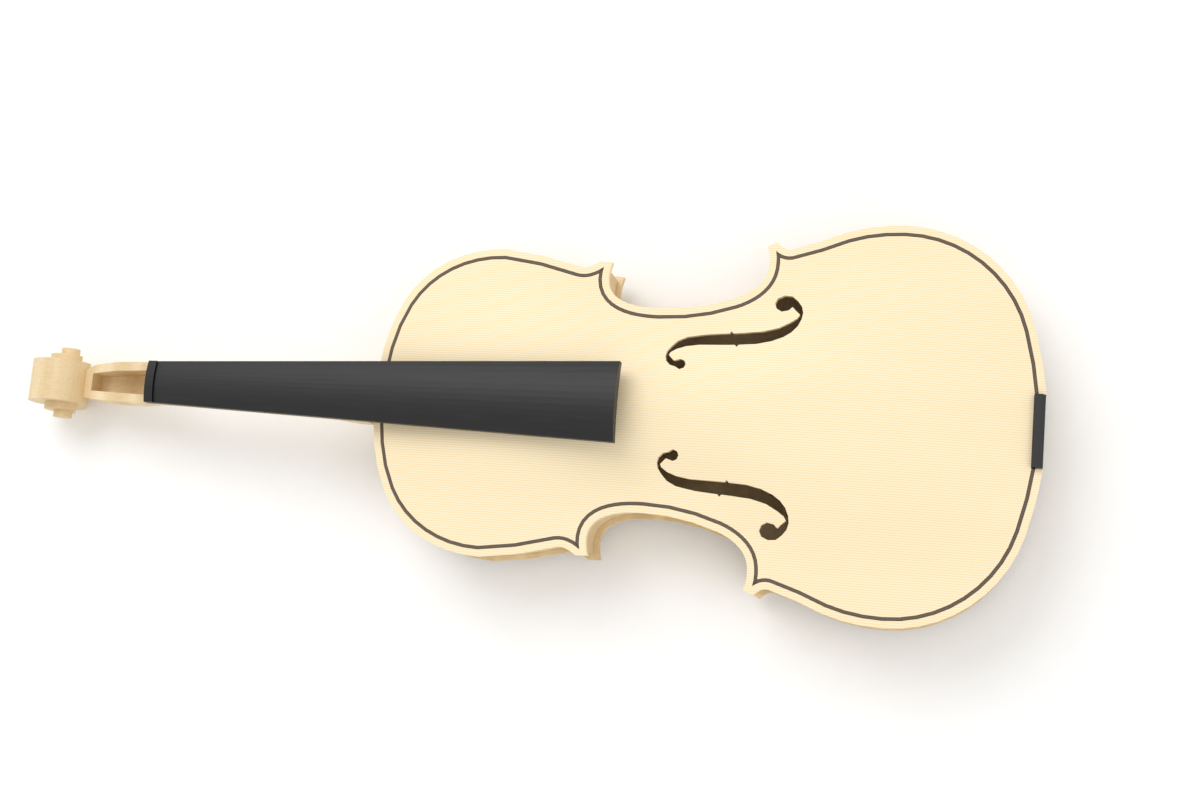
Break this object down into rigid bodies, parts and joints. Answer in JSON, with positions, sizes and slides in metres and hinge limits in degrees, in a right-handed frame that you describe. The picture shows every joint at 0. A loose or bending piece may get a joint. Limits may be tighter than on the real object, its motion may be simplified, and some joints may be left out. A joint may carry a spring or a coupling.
{
  "type": "unfinished violin",
  "caption": "Full-size violin in the white: carved, glued body with scroll neck, fingerboard, nut and saddle, and no varnish, strings or fittings.",
  "frame": {"origin": "middle of the bounding box, at its lowest level, under the back's arch", "axes": "+X towards the tail, +Y towards the treble side, +Z out of the belly"},
  "size_m": [0.5774, 0.2088, 0.0778],
  "materials": {
    "spruce": "bare planed softwood",
    "maple": "bare scraped hardwood",
    "ebony": "scraped and oiled satin black",
    "willow": "bare",
    "purfling": "dyed"
  },
  "bodies": {
    "root": {"belly_treble": "spruce", "back_treble": "maple", "rib_upper_treble": "maple", "lining_belly_upper_treble": "willow", "lining_back_upper_treble": "willow", "purfling_belly_upper_treble": "purfling", "purfling_back_upper_treble": "purfling", "rib_waist_treble": "maple", "lining_belly_waist_treble": "willow", "lining_back_waist_treble": "willow", "purfling_belly_waist_treble": "purfling", "purfling_back_waist_treble": "purfling", "rib_lower_treble": "maple", "lining_belly_lower_treble": "willow", "lining_back_lower_treble": "willow", "purfling_belly_lower_treble": "purfling", "purfling_back_lower_treble": "purfling", "corner_block_upper_treble": "willow", "corner_block_lower_treble": "willow", "belly_bass": "spruce", "back_bass": "maple", "rib_upper_bass": "maple", "lining_belly_upper_bass": "willow", "lining_back_upper_bass": "willow", "purfling_belly_upper_bass": "purfling", "purfling_back_upper_bass": "purfling", "rib_waist_bass": "maple", "lining_belly_waist_bass": "willow", "lining_back_waist_bass": "willow", "purfling_belly_waist_bass": "purfling", "purfling_back_waist_bass": "purfling", "rib_lower_bass": "maple", "lining_belly_lower_bass": "willow", "lining_back_lower_bass": "willow", "purfling_belly_lower_bass": "purfling", "purfling_back_lower_bass": "purfling", "corner_block_upper_bass": "willow", "corner_block_lower_bass": "willow", "top_block": "willow", "bottom_block": "willow", "bass_bar": "spruce", "fingerboard": "ebony", "nut": "ebony", "saddle": "ebony", "neck": "maple"}
  },
  "joints": []
}
